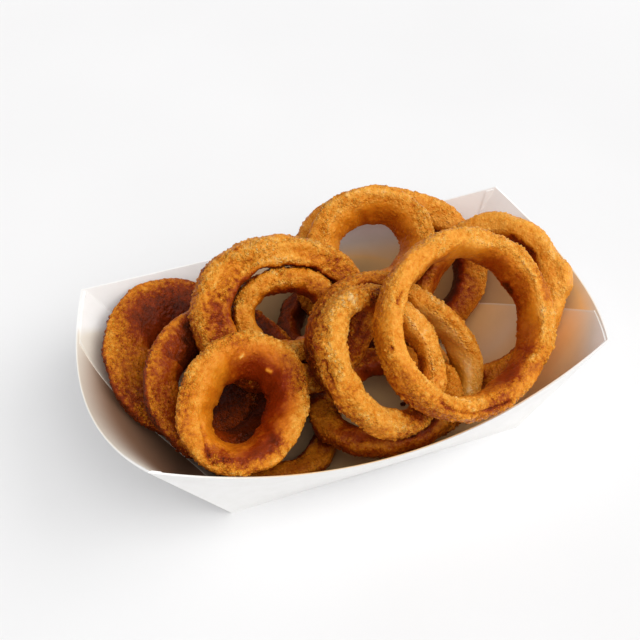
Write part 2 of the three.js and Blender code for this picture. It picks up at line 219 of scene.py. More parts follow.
# Details of single rings: the ring's number, a path of (turn, side) in degrees, the width of
# its band and how far it rises in millimetres, and how pale (above 0) or dark it is. The narrow
# ones that rise or sink are grooves, cracks, pits and pale flakes; the broad flat ones are
# mostly painted shade where the crust lies in shadow and painted light where it is lit, apart
# from the pale dusty rims of rings 7 and 8.
DETAILS = (
    (1, ((280, 139), (294, 123), (306, 95), (313, 80)), 0.9, -1.1, -0.35),
    (1, ((310, 112), (334, 108), (356, 112), (375, 118)), 5, -0.5, -0.65),
    (1, ((234, 80), (258, 90), (279, 81)), 4, 0, -0.32),
    (1, ((109, 87), (99, 97), (85, 80)), 5, 0, -0.36),
    (1, ((166, 81), (178, 58)), 4, 0, -0.34),
    (1, ((190, 155), (200, 155)), 5, 0, 0.2),
    (1, ((159, 142), (161, 146)), 0.8, 0.5, 0.9),
    (1, ((124, 160), (119, 158)), 0.8, 0.5, 0.8),
    (2, ((226, 13), (239, 6), (254, 8)), 0.6, -0.6, -0.4),
    (2, ((68, -177), (50, 144), (32, 114), (20, 130)), 4, -0.4, -0.05),
    (2, ((86, 150), (66, 178), (46, 150)), 5, 0, 0.3),
    (2, ((330, 86), (337, 86)), 5, 0, -0.32),
    (2, ((154, 65), (158, 60)), 5, 0, -0.28),
    (2, ((211, -2), (218, -4)), 4, 0, -0.28),
    (2, ((256, 85), (260, 85)), 3, 0, -0.24),
    (2, ((170, 60), (172, 75)), 1.6, 0.6, 0.5),
    (3, ((290, 83), (300, 68), (314, 69), (327, 77), (344, 74)), 1.2, -1.3, -0.4),
    (3, ((251, 55), (252, 59)), 0.8, -0.7, -0.6),
    (3, ((218, 98), (226, 91)), 0.8, -0.6, -0.5),
    (3, ((84, -151), (88, -151)), 1.8, -0.6, -0.9),
    (3, ((331, 80), (350, 140), (367, 135), (392, 125)), 7, 0, -0.5),
    (3, ((72, 90), (83, 66)), 4.5, 0, -0.42),
    (3, ((273, 67), (293, 58)), 5, 0, -0.22),
    (3, ((62, 150), (66, 150)), 5, 0, 0.3),
    (3, ((130, 166), (144, 164)), 7, 0, 0.34),
    (3, ((22, 126), (26, 124)), 1.5, 0.6, 0.6),
    (3, ((115, 89), (96, 106), (70, 115), (40, 117)), 1.6, 0.7, 0.2),
    (4, ((102, 88), (80, 91)), 1.6, 0.5, 0.4),
    (4, ((60, 111), (46, 106)), 5, 0, 0.42),
    (4, ((125, 74), (115, 76)), 5, 0, 0.28),
    (4, ((180, 78), (176, 78)), 5, 0, -0.24),
    (4, ((195, 30), (212, 44), (229, 44), (243, 20), (262, -10)), 5, 0, -0.28),
    (5, ((320, 117), (308, 117)), 8, 0, -0.4),
    (5, ((153, 58), (112, 95), (80, 78)), 5, 0, -0.34),
    (6, ((280, 150), (310, 165)), 12, 0, -0.4),
    (7, ((25, 165), (350, 140), (325, 124)), 9, 0, -0.5),
    (7, ((93, 85), (102, 85)), 4, 0, -0.4),
    (7, ((230, 57), (215, 49), (197, 44), (180, 54), (163, 67)), 3.5, 0, 0.16),
    (7, ((100, -20), (140, -20), (185, -20)), 8, 0, 0.4),
    (8, ((320, 76), (350, 87), (366, 70)), 13, 0, -0.5),
    (8, ((209, 59), (192, 40), (150, 42)), 5, 0, 0.2),
    (8, ((166, 108), (140, 98), (110, 90)), 7.5, 0, -0.36),
    (8, ((251, 48), (265, 53)), 6, 0, -0.32),
    (9, ((305, 28), (320, 34)), 8, 0, -0.5),
    (9, ((68, 112), (45, 100)), 9, 0, -0.6),
    (9, ((205, 165), (228, 150), (245, 120), (268, 108)), 5, -0.3, -0.62),
    (9, ((170, 139), (160, 135)), 6, 0, 0.26),
    (9, ((115, 80), (104, 90), (98, 78)), 6, 0, -0.38),
    (9, ((244, 82), (232, 90), (216, 99), (197, 97), (174, 93), (150, 89), (128, 89)),
     1.8, -1.4, -0.12),
    (9, ((223, 0), (226, 2)), 1.2, 0.4, -0.6),
    (9, ((198, 36), (200, 40)), 1.0, 0.3, -0.6),
    (9, ((227, 79), (229, 80)), 0.8, 0.5, 0.5),
    (10, ((262, -1), (260, 4)), 2, 0.4, 0.6),
    (10, ((124, 100), (116, 100)), 5, 0, -0.28),
    (12, ((222, 80), (187, 85), (145, 91)), 1.6, 0.8, 0.25),
    (12, ((112, 66), (114, 68)), 2, 0.8, 0.2),
    (12, ((135, 82), (137, 84)), 2, 0.8, 0.2),
    (13, ((50, -167), (70, -167)), 8, 0, -0.4),
    (13, ((305, 120), (335, 60)), 12, 0, -0.5),
    (13, ((119, 140), (129, 140)), 6, 0, 0.34),
    (13, ((54, 106), (63, 100)), 6, 0, -0.34),
    (14, ((20, 89), (35, 94), (44, 101), (57, 115)), 9, 0, -0.38),
    (14, ((258, 122), (272, 122)), 9, 0, -0.6),
    (14, ((186, 101), (196, 100)), 5, 0, 0.2),
    (14, ((155, 134), (165, 130), (175, 128)), 2.4, -0.6, -0.6),
    (14, ((127, -19), (129, -15)), 2.6, 0.4, 0.3),
)

# Crumbs: where each lies, its mean radius and its tone; then their shape.
CRUMBS = (
    ((26.1, -17.6, 1.3), 1.4, -0.9),
    ((60, 44, 1.2), 1.1, -0.2),
    ((-8, -46, 1.2), 1.2, -0.4),
    ((-64, 36, 1.1), 0.9, -0.1),
    ((66, -38, 1.2), 1.1, 0.1),
    ((-20, 44, 1.1), 1.0, -0.5),
)
CRUMB_GRID = (14, 9)
CRUMB_POLE = 0.02
CRUMB_SHAPE = (1, 0.85, 0.66)
CRUMB_UNEVEN = 0.35
CRUMB_NOISE = (3, 1.6)  # the ball's radius and the cubes' size in that noise

# ---- the camera and the light ----
CAMERA_PLACE = (-161.6, -401.6, 484.0)
CAMERA_AIM = (9.3, 51.25, 0)
LENS = 75.0
SENSOR = 36.0
CLIP_START = 0.01
FLOOR_SIZE = 6000
FLOOR_UNEVEN = 0.97
# Broad soft lights: azimuth from +X and elevation, strength, and breadth in degrees.
WINDOWS = (
    ("low_window", -10, 34, 0.9, 50),
    ("high_window", -50, 48, 0.78, 50),
    ("front_window", 262, 60, 0.82, 60),
)
WINDOW_COLOUR = (1, 0.99, 0.97)
SKY_COLOUR = (0.99, 0.993, 1, 1)
WHITE = (1.0, 1.0, 1.0)


# ---- small tools ----
def linear(code):
    """An sRGB hex colour as linear numbers, by the sRGB curve."""
    values = [int(code[i:i + 2], 16) / 255 for i in (1, 3, 5)]
    return tuple(v / 12.92 if v <= 0.04045 else ((v + 0.055) / 1.055) ** 2.4 for v in values)


def lerp(a, b, share):
    return a + (b - a) * share


def smooth_step(low, high, value):
    """0 up to low, 1 from high, and 3t^2 - 2t^3 between."""
    share = np.clip((value - low) / (high - low), 0, 1)
    return share * share * (3 - 2 * share)


def fade(angle, reach):
    """exp(-(angle / reach)^4), with the angle in degrees wrapped to +-180."""
    apart = (angle + 180) % 360 - 180
    return np.exp(-((apart / reach) ** 4))


def grid_faces(rows, columns, close_rows=False, close_columns=False):
    """Corner numbers of the quads of a grid whose points run row by row."""
    i = np.arange(rows if close_rows else rows - 1)
    j = np.arange(columns if close_columns else columns - 1)
    i, j = (part.ravel() for part in np.meshgrid(i, j, indexing="ij"))
    down = (i + 1) % rows
    right = (j + 1) % columns
    return np.stack([i * columns + j, down * columns + j,
                     down * columns + right, i * columns + right], axis=1)


def weld(parts):
    """Joins (points, quads) pairs into one mesh, with points at one place made one."""
    starts = np.cumsum([0] + [len(points) for points, _ in parts[:-1]])
    points = np.concatenate([points for points, _ in parts])
    quads = np.concatenate([quads + start for (_, quads), start in zip(parts, starts)])
    _, first, same = np.unique(np.round(points, 4), axis=0, return_index=True,
                               return_inverse=True)
    return points[first], same.reshape(-1)[quads], first


def make_piece(name, points, quads, material, attributes=None, sharp=None):
    """A mesh object from points in millimetres and quads, smooth but for sharp folds."""
    mesh = bpy.data.meshes.new(name)
    mesh.vertices.add(len(points))
    mesh.vertices.foreach_set("co", (points * MM).astype(np.float32).ravel())
    mesh.loops.add(quads.size)
    mesh.loops.foreach_set("vertex_index", quads.astype(np.int32).ravel())
    mesh.polygons.add(len(quads))
    mesh.polygons.foreach_set("loop_start", np.arange(0, quads.size, 4, dtype=np.int32))
    mesh.polygons.foreach_set("use_smooth", np.ones(len(quads), dtype=bool))
    mesh.update(calc_edges=True)
    mesh.validate()
    for key, values in (attributes or {}).items():
        layer = mesh.attributes.new(key, "FLOAT", "POINT")
        layer.data.foreach_set("value", values.astype(np.float32).ravel())
    if sharp:
        mesh.set_sharp_from_angle(angle=sharp)
    mesh.materials.append(material)
    piece = bpy.data.objects.new(name, mesh)
    bpy.context.scene.collection.objects.link(piece)
    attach(piece, BODY)
    return piece


# ---- random relief ----
TABLE = 32


def lattice_noise(points, size, seed):
    """Smooth values from -1 to 1: random ones at the corners of cubes of the given size,
    blended inside each cube by 3t^2 - 2t^3 along its three edges."""
    table = np.random.default_rng(seed).uniform(-1, 1, (TABLE, TABLE, TABLE))
    place = points / size
    low = np.floor(place).astype(int)
    part = place - low
    part = part * part * (3 - 2 * part)
    total = np.zeros(points.shape[:-1])
    for corner in itertools.product((0, 1), repeat=3):
        index = (low + np.array(corner)) % TABLE
        weight = np.prod(np.where(corner, part, 1 - part), axis=-1)
        total += weight * table[index[..., 0], index[..., 1], index[..., 2]]
    return total


def rotation(axis, degrees):
    """The turn about X, Y or Z (0, 1 or 2) as a matrix, to go before a column."""
    cos, sin = math.cos(math.radians(degrees)), math.sin(math.radians(degrees))
    i, j = (axis + 1) % 3, (axis + 2) % 3
    matrix = np.eye(3)
    matrix[i, i] = matrix[j, j] = cos
    matrix[i, j], matrix[j, i] = -sin, sin
    return matrix


def turned(points):
    """The points turned by 40 degrees about X and then 35 about Z, so that the lattices
    of two patterns don't line up."""
    return points @ (rotation(2, 35) @ rotation(0, 40)).T


def edge_share(side):
    """1 at the four rounded edges of the section and 0 in the middle of its faces."""
    return np.sin(2 * side) ** 2


def crust_noise(key, number, points):
    """The lattice noise that NOISES gives a ring's number for this key."""
    size, offset = NOISES[key]
    return lattice_noise(points, size, SEEDS_APART * number + offset)


def billow(noise):
    """Rounded bumps between sharp creases: twice |noise|, moved to lie round 0."""
    return np.abs(noise) * 2 - BILLOW_MEAN


def grains(key, number, points):
    """Round grains in the skin: one ball per cube of the key's size, at a random place and
    of a random radius, for the key's share of the cubes. The height is that of the tallest
    ball over the point: sqrt(r^2 - d^2), where d is the distance to the ball's middle."""
    size, offset = NOISES[key]
    draw = np.random.default_rng(SEEDS_APART * number + offset)
    spot = draw.uniform(0, 1, (TABLE, TABLE, TABLE, 3))
    girth = draw.uniform(*GRAIN_RADII, (TABLE, TABLE, TABLE))
    girth[draw.uniform(0, 1, girth.shape) > GRAIN_SHARES[key]] = 0
    place = points / size
    low = np.floor(place).astype(int)
    best = np.zeros(points.shape[:-1])
    for step in itertools.product((-1, 0, 1), repeat=3):
        cell = low + np.array(step)
        index = tuple((cell % TABLE)[..., axis] for axis in range(3))
        apart = place - cell - spot[index]
        room = girth[index] ** 2 - np.sum(apart * apart, axis=-1)
        best = np.maximum(best, np.sqrt(np.maximum(room, 0)))
    return best * size


# ---- the rings ----
def ring_phases(seed):
    """The lumps' phases: a linear congruential sequence, drawn as for the solids."""
    state = seed
    phases = []
    for _ in range(2 * len(WAVES)):
        state = (state * STATE_FACTOR + STATE_STEP) % STATES
        phases.append((2 * state / STATES - 1) * math.pi)
    return np.array(phases).reshape(-1, 2)


def squared(value):
    """Signed power 2 / SQUARENESS, which squares off a cosine or sine."""
    return np.sign(value) * np.abs(value) ** (2 / SQUARENESS)


def ring_skin(ring, number, turn, side):
    """The band in its own frame: at each turn a rounded square (|x|^p + |z|^p = 1, with
    p = SQUARENESS) of half-width wall / 2 and half-height tall / 2 is carried round an
    oval of radius (radius - wall / 2)(1 + oval cos 2(turn - oval_turn)), leaning outwards
    by the cone and sheared by the dish. Lumps, as sums of three sine waves, and the marks
    are added to both halves."""
    oval = 1 + ring["oval"] * np.cos(2 * (turn - math.radians(ring["oval_turn"])))
    middle = (ring["radius"] - ring["wall"] / 2) * oval
    lump = np.zeros(turn.shape)
    for k, (waves, (shift, twist)) in enumerate(zip(WAVES, ring_phases(number))):
        lump += LUMP * np.sin(waves * turn + shift) * np.cos((k + 1) * -side + twist)
    for at_turn, at_side, long, wide, rise in MARKS.get(number, ()):
        along = fade(np.degrees(turn) - at_turn, long / 2)
        lump += rise * along * fade(-np.degrees(side) - at_side, wide / 2)
    deeper = ring.get("drop", 0) * fade(np.degrees(turn) - ring.get("drop_turn", 0), DROP_REACH)
    across = squared(np.cos(side))
    upward = squared(np.sin(side))
    half_tall = ring["tall"] / 2
    reach = middle + (ring["wall"] / 2 + lump) * across + ring["cone"] * half_tall * upward
    height = (half_tall + lump + np.where(upward < 0, deeper, 0)) * upward
    height = height - ring.get("dish", 0) * (1 - across) / 2
    return np.stack([reach * np.cos(turn), reach * np.sin(turn), height], axis=-1)


def normals_of(points):
    """Unit normals of a closed grid, from the differences along its two directions."""
    along = np.roll(points, -1, 0) - np.roll(points, 1, 0)
    across = np.roll(points, -1, 1) - np.roll(points, 1, 1)
    normal = np.cross(along, across)
    return normal / np.linalg.norm(normal, axis=-1, keepdims=True)


def path_distance(ring, turn, side, path):
    """Distance in millimetres from each point to a path of (turn, side) on the band."""
    radius = ring["radius"] - ring["wall"] / 2
    section = (ring["wall"] + ring["tall"]) / 4
    nearest = np.full(turn.shape, np.inf)
    for (turn_a, side_a), (turn_b, side_b) in zip(path, path[1:]):
        x = ((np.degrees(turn) - turn_a + 180) % 360 - 180) * math.pi / 180 * radius
        y = ((np.degrees(side) - side_a + 180) % 360 - 180) * math.pi / 180 * section
        run_x = math.radians(turn_b - turn_a) * radius
        run_y = math.radians((side_b - side_a + 180) % 360 - 180) * section
        share = np.clip((x * run_x + y * run_y) / (run_x**2 + run_y**2), 0, 1)
        nearest = np.minimum(nearest, np.hypot(x - share * run_x, y - share * run_y))
    return nearest


def attitude(ring):
    """The turn by the ring's lean about Y and then its heading about Z, as a matrix."""
    return rotation(2, ring["heading"]) @ rotation(1, ring["lean"])


def to_tray(ring, points):
    """Turns the band to its attitude and moves it to its place."""
    return points @ attitude(ring).T + np.array(ring["middle"])


def up_wall(wall, run, height):
    """How far up a bowed wall a place lies, from 0 to 1, by its height and how far along the
    wall it is, and how far out the wall stands there. The rim dips by 1 - along^2, so this
    is solved for in a few rounds."""
    half_run, out, bow, dip = wall
    up = height / CORNER_HEIGHT
    for _ in range(ROUNDS):
        middle = 1 - np.clip(run / lerp(*half_run, up), -1, 1) ** 2
        up = height / (CORNER_HEIGHT - dip * middle)
    return up, lerp(out[0], out[1] + bow * middle, up)


def inside_tray(points, gap):
    """Moves points that would reach into a wall or the floor back to the gap inside it."""
    def held(wall, out, run, inset):
        up, limit = up_wall(wall, run, z)
        return np.sign(out) * np.minimum(np.abs(out), np.where(up < 1, limit - inset, np.inf))

    x, y, z = np.moveaxis(points, -1, 0)
    y = held(SIDE_WALL, y, x, WALL_INSET + gap)
    x = held(END_WALL, x, y, WALL_INSET + EAR_RISE + gap)
    return np.stack([x, y, np.maximum(z, BOARD + gap)], axis=-1)


def ring_distance(ring, points):
    """Distance from points to a ring's band: in the ring's own frame, |(r - m) / a, z / b|
    less 1, times the smaller of a and b, with m the radius of its middle circle at that
    turn and a and b half its wall and half its tall."""
    own = (points - np.array(ring["middle"])) @ attitude(ring)
    turn = np.arctan2(own[..., 1], own[..., 0])
    half_wall, half_tall = ring["wall"] / 2, ring["tall"] / 2
    middle = (ring["radius"] - half_wall) * (
        1 + ring["oval"] * np.cos(2 * (turn - math.radians(ring["oval_turn"]))))
    away = np.hypot(own[..., 0], own[..., 1]) - middle - ring["cone"] * own[..., 2]
    scaled = np.hypot(away / half_wall, own[..., 2] / half_tall)
    return (scaled - 1) * min(half_wall, half_tall)


def crust(number, ring, settings, side, band, across, calm):
    """The relief of the crust over its band, in millimetres: broad unevenness, rounded
    bumps of two sizes, fine unevenness and round grains, summed. Grains stand out most in
    crumbly patches and least on the inner face. Then the tone that they give it, golden
    where it stands proud and browner in its creases, partly the crust's own colour and partly
    painted highlight and shade, browner on toasted specks, and less of all that the calmer
    the crust is; and how crumbly it is."""
    def noise(key, points=band):
        return crust_noise(key, number, points)

    grainy = INSIDES[number][2]
    warp = band + WARP * np.stack(
        [noise(key) for key in ("warp_x", "warp_y", "warp_z")], axis=-1)
    middling = billow(noise("middling", turned(warp)))
    small = billow(noise("small", warp))
    fine = noise("fine", turned(band))
    grain = np.maximum(grains("grains", number, band),
                       grains("finer_grains", number, turned(band)))
    edge = edge_share(side)
    crumbly = smooth_step(*CRUMBLY_RANGE, noise("crumbly") + CRUMBLY_EDGE * edge)
    standing = lerp(SMOOTH_GRAINS, 1, crumbly)
    face = smooth_step(*INNER_FACE, across)
    relief = settings.broad * noise("broad") + lerp(1, FACE_RELIEF, face) * (
        settings.middling * middling + settings.small * small + settings.fine * fine)
    relief += settings.grain * grain * standing * lerp(1, FACE_GRAINS, face)

    crest = np.exp(-(((across - CREST[0]) / CREST[1]) ** 2))
    toast = smooth_step(*TOAST_RANGE,
                        noise("toast", turned(warp)) + TOAST_PATCHES * noise("toasted"))
    tone = ring["tone"] + TONES["clouds"] * noise("clouds") + TONES["crest"] * crest
    tone += calm * grainy * (
        TONES["patches"] * noise("patches", warp) + TONES["middling"] * middling
        + TONES["small"] * small + TONES["fine"] * fine)
    tone += calm * standing * (TONES["grain"] * grain + TONES["edge"] * edge)
    tone -= calm * TONES["toast"] * toast
    return relief, tone, crumbly


def ring_details(number, ring, turn, side, band):
    """What DETAILS adds to a ring: along each path its rise and its shade, both times
    exp(-(d / width)^2), with d the distance from the path, made uneven by noise; on the broad
    paths the shade is painted light and shade. inner_shade_kept is how much a place keeps of
    its inner face's painted shade: 1, but down to 0 along the pale paths."""
    uneven = 1 + PATH_UNEVEN * crust_noise("paths", number, band)
    rises, shades, inner_shade_kept = np.zeros(turn.shape), np.zeros(turn.shape), np.ones(turn.shape)
    for path, width, rise, shade in (row[1:] for row in DETAILS if row[0] == number):
        apart = path_distance(ring, turn, side, path) * uneven
        share = np.exp(-((apart / width) ** 2))
        rises += rise * share
        # on the broad paths this adds painted light and shade
        shades += shade * share
        if shade > 0:
            inner_shade_kept *= 1 - share
    return rises, shades, inner_shade_kept


def surroundings(ring, band, normal, shut_in_shade):
    """The painted light and shade that a place's surroundings give its tone: lighter or darker
    by its normal's share along LIT_SIDE, towards the lamps, and painted shade by the distance
    from the nearest other ring to a point that lies SHUT_IN in front of it."""
    outward = normal @ attitude(ring).T
    # golden is painted light and shade by the way the place faces
    golden = LIT_RANGE * np.maximum(outward @ np.array(LIT_SIDE), LIT_FLOOR) + LIT_BASE
    ahead = to_tray(ring, band) + SHUT_IN * outward
    others = np.min([ring_distance(other, ahead) for other in RINGS if other is not ring],
                    axis=0)
    return golden - shut_in_shade * smooth_step(*SHUT_RANGE, others)


def make_ring(number, ring, settings, material):
    """One ring: its band, with the crust's relief pushed out along the normals, and as
    attributes its tone, which carries painted light and shade, how deep the painted shade on
    its inner face is, and how rough the crust is."""
    radius = ring["radius"] - ring["wall"] / 2
    around = int(TAU * radius / settings.spacing)
    section = int(SECTION_GIRTH * (ring["wall"] + ring["tall"]) / settings.spacing)
    turn, side = np.meshgrid(np.arange(around) * TAU / around,
                             np.arange(section) * TAU / section, indexing="ij")
    band = ring_skin(ring, number, turn, side)
    normal = normals_of(band)
    starts, inner_shade, grainy = INSIDES[number]
    # the inner face's painted shade is deepest on the side away from the lamps
    facing = 0.5 + 0.5 * np.cos(turn - math.radians(SHADED_SIDE - ring["heading"]))
    inner_shade = inner_shade * lerp(SHADED_REST, 1, facing)
    across = squared(np.cos(side)) + ACROSS_UNEVEN * crust_noise("across", number, band)
    inner = smooth_step(starts, -1.0, across)
    calm = 1 - CALM_INSIDE * inner
    relief, tone, crumbly = crust(number, ring, settings, side, band, across, calm)
    rises, shades, inner_shade_kept = ring_details(number, ring, turn, side, band)
    relief = np.clip(relief + rises, *RELIEF_RANGE)
    # the inner face's painted shade and the painted light and shade of the surroundings go into
    # the tone here
    tone += shades - inner_shade * inner + surroundings(ring, band, normal, settings.shut_in_shade)
    points = inside_tray(to_tray(ring, band + normal * relief[..., None]), TRAY_GAP)
    piece = make_piece(
        f"fried_ring_{number:02d}", points.reshape(-1, 3),
        grid_faces(around, section, True, True), material,
        {"tone": np.clip(tone, *TONE_RANGE),
         "inner": np.maximum(INNER_SHADE_DEPTH * inner * inner_shade, 0) * inner_shade_kept,
         "rough": grainy * calm * lerp(SMOOTH_ROUGH, 1, crumbly)},
    )
    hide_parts(f"onion_ring_{number:02d}")
    return piece


# ---- the tray ----
def wall_point(wall, side, along, up, inset, foot):
    """A wall's face: along from -1 to 1 between its corners, up from 0 at the base to 1 at
    the rim. It bows out and its height dips by 1 - along^2."""
    half_run, out, bow, dip = wall
    middle = 1 - along * along
    run = along * (lerp(*half_run, up) - inset)
    out = side * (lerp(out[0], out[1] + bow * middle, up) - inset)
    height = lerp(foot, CORNER_HEIGHT - dip * middle, up)
    return np.stack([out, run, height] if wall is END_WALL else [run, out, height], axis=-1)


def flip(quads):
    return quads[:, ::-1]


def tray_walls():
    """The folded board: four walls as sheets between an outer face and one WALL_INSET
    inside it, a strip over the rim, and the base as flat grids above and below. Also tells
    for each point whether it is on the inside."""
    parts = []
    insides = []
    ups = np.linspace(0, 1, WALL_STEPS + 1)
    for wall, steps in ((SIDE_WALL, SIDE_STEPS), (END_WALL, END_STEPS)):
        alongs = np.linspace(-1, 1, steps + 1)
        up, along = np.meshgrid(ups, alongs, indexing="ij")
        quads = grid_faces(len(ups), len(alongs))
        rim = grid_faces(2, len(alongs))
        for side in (-1, 1):
            outer = wall_point(wall, side, along, up, 0, 0)
            inner = wall_point(wall, side, along, up, WALL_INSET, BOARD)
            outward = (side > 0) != (wall is END_WALL)
            edge = np.stack([outer[-1], inner[-1]])
            parts.append((outer.reshape(-1, 3), quads if outward else flip(quads)))
            parts.append((inner.reshape(-1, 3), flip(quads) if outward else quads))
            parts.append((edge.reshape(-1, 3), rim if outward else flip(rim)))
            insides += [np.zeros(outer[..., 0].size), np.ones(inner[..., 0].size),
                        np.repeat([0.0, 1.0], len(alongs))]
    x, y = np.meshgrid(np.linspace(-1, 1, SIDE_STEPS + 1), np.linspace(-1, 1, END_STEPS + 1),
                       indexing="ij")
    quads = grid_faces(SIDE_STEPS + 1, END_STEPS + 1)
    for inset, height, faces in ((0, 0, flip(quads)), (WALL_INSET, BOARD, quads)):
        flat = np.stack([x * (HALF_LENGTHS[0] - inset), y * (HALF_WIDTHS[0] - inset),
                         np.full(x.shape, height)], axis=-1)
        parts.append((flat.reshape(-1, 3), faces))
        insides.append(np.full(x.size, float(inset > 0)))
    points, quads, kept = weld(parts)
    return points, quads, np.concatenate(insides)[kept]


def flap_plate(wall, end, ups, starts, ends, steps):
    """A flap glued inside a wall: a plate between the board's middle and EAR_RISE inside
    the wall, whose rows run up the wall and each span from a start to an end, closer
    together towards the end by a quarter of a sine wave."""
    share = np.sin(np.linspace(0, math.pi / 2, steps + 1))
    along = lerp(starts[:, None], ends[:, None], share)
    up = np.broadcast_to(ups[:, None], along.shape)
    outer, inner = (wall_point(wall, end, end * along, up, inset, BOARD / 2)
                    for inset in (BOARD / 2, WALL_INSET + EAR_RISE))
    rows, columns = along.shape
    faces = grid_faces(rows, columns)
    parts = [(outer.reshape(-1, 3), faces), (inner.reshape(-1, 3), flip(faces))]
    for line, count, swapped in (
        (np.s_[0], columns, True), (np.s_[-1], columns, False),
        (np.s_[:, 0], rows, False), (np.s_[:, -1], rows, True),
    ):
        strip = np.stack([outer[line], inner[line]])
        faces = grid_faces(2, count)
        parts.append((strip.reshape(-1, 3), flip(faces) if swapped else faces))
    return weld(parts)[:2]


def tray_flaps():
    """The two ears inside the end walls and the two narrow tabs beside the corners. Also
    tells how much fat and painted shade each point takes: FLAP_TAKES, and less along the ears'
    cut edges, by exp(-(d / CUT_EDGE)^2), a painted highlight where they catch the light."""
    ear_ups = np.linspace(0, EAR_TOP, FLAP_STEPS + 1)
    tab_ups = np.linspace(TAB_FOOT, EAR_TOP, FLAP_STEPS // 4 + 1)
    share = np.linspace(0, 1, len(tab_ups))
    flaps = []
    for end in (-1, 1):
        flaps.append(flap_plate(END_WALL, end, ear_ups, np.full(len(ear_ups), -1.0),
                                lerp(*EAR_AT, ear_ups), FLAP_STEPS))
        points, quads = flap_plate(SIDE_WALL, end, tab_ups, lerp(*TAB_AT, share),
                                   np.ones(len(tab_ups)), FLAP_STEPS // 8)
        flaps.append((points, flip(quads)))
    points, quads, _ = weld(flaps)
    cut_highlight = np.exp(-((ear_distance(points) / CUT_EDGE) ** 2))
    return points, quads, FLAP_TAKES * (1 - CUT_EDGE_HIGHLIGHT * cut_highlight)


def ear_distance(points):
    """Distance in millimetres along the end walls from the ears' slanting edges."""
    x, y, z = points.T
    up, _ = up_wall(END_WALL, y, z)
    return np.sign(x) * y - lerp(*EAR_AT, up) * lerp(*HALF_WIDTHS, up)


def paper_attributes(points, inside):
    """grease is how much fat and painted shade a place of the inside takes: none at
    the rim, more down the wall, less high up on the back wall, and most near the food, where
    it is partly a painted shadow of the rings, above all at the left end; 0 on the outside.
    dry grows towards the left end, where the colour turns to a duller beige of painted shade."""
    nearest = np.min([ring_distance(ring, points) for ring in RINGS], axis=0)
    near = smooth_step(*FAT_AND_SHADE_REACH, nearest + FAT_UNEVEN * lattice_noise(points, *FAT_PATCHES))
    near = np.minimum(near * lerp(*LEFT_SHADE_FACTOR, smooth_step(*LEFT_END, points[:, 0])), 1)
    up = points[:, 2] / CORNER_HEIGHT
    at_back = smooth_step(*BACK_WALL, points[:, 1])
    low = smooth_step(lerp(*FAT_TOP, at_back), lerp(*FAT_FULL, at_back), up)
    return {"grease": low * lerp(FAT_FAR, 1, near) * inside,
            "dry": smooth_step(*LEFT_SHADE_END, points[:, 0])}


# ---- crumbs ----
def crumb_skin(place, radius, seed):
    """A crumb: a ball whose radius varies by noise, r(1 + CRUMB_UNEVEN n), on a grid of
    longitude and latitude, flattened to two thirds of its height."""
    longs, lats = CRUMB_GRID
    reach, cubes = CRUMB_NOISE
    longs, lats = np.meshgrid(np.arange(longs) * TAU / longs,
                              np.linspace(CRUMB_POLE, math.pi - CRUMB_POLE, lats),
                              indexing="ij")
    ball = np.stack([np.sin(lats) * np.cos(longs), np.sin(lats) * np.sin(longs),
                     np.cos(lats)], axis=-1)
    uneven = 1 + CRUMB_UNEVEN * lattice_noise(ball * reach + seed, cubes, seed)
    return ball * uneven[..., None] * radius * np.array(CRUMB_SHAPE) + np.array(place)


# ---- materials ----
def add_node(tree, kind, settings=None, **links):
    """Adds a shader node, sets its properties, and sets or links its inputs by name, or by
    number where the name is i and digits. The setting stops fills a colour ramp."""
    node = tree.nodes.new("ShaderNode" + kind)
    for key, value in (settings or {}).items():
        if key == "stops":
            elements = node.color_ramp.elements
            while len(elements) < len(value):
                elements.new(0.5)
            for element, (place, colour) in zip(elements, value):
                element.position = place
                element.color = (*colour, 1)
        else:
            setattr(node, key, value)
    for key, value in links.items():
        name = int(key[1:]) if key[0] == "i" and key[1:].isdigit() else key.replace("_", " ")
        socket = node.inputs[name]
        if isinstance(value, bpy.types.NodeSocket):
            tree.links.new(value, socket)
        else:
            socket.default_value = value
    return node


def new_material(name):
    """A new material without nodes, and the function that adds one to it."""
    material = bpy.data.materials.new(name)
    material.use_nodes = True
    material.node_tree.nodes.clear()
    return material, functools.partial(add_node, material.node_tree)


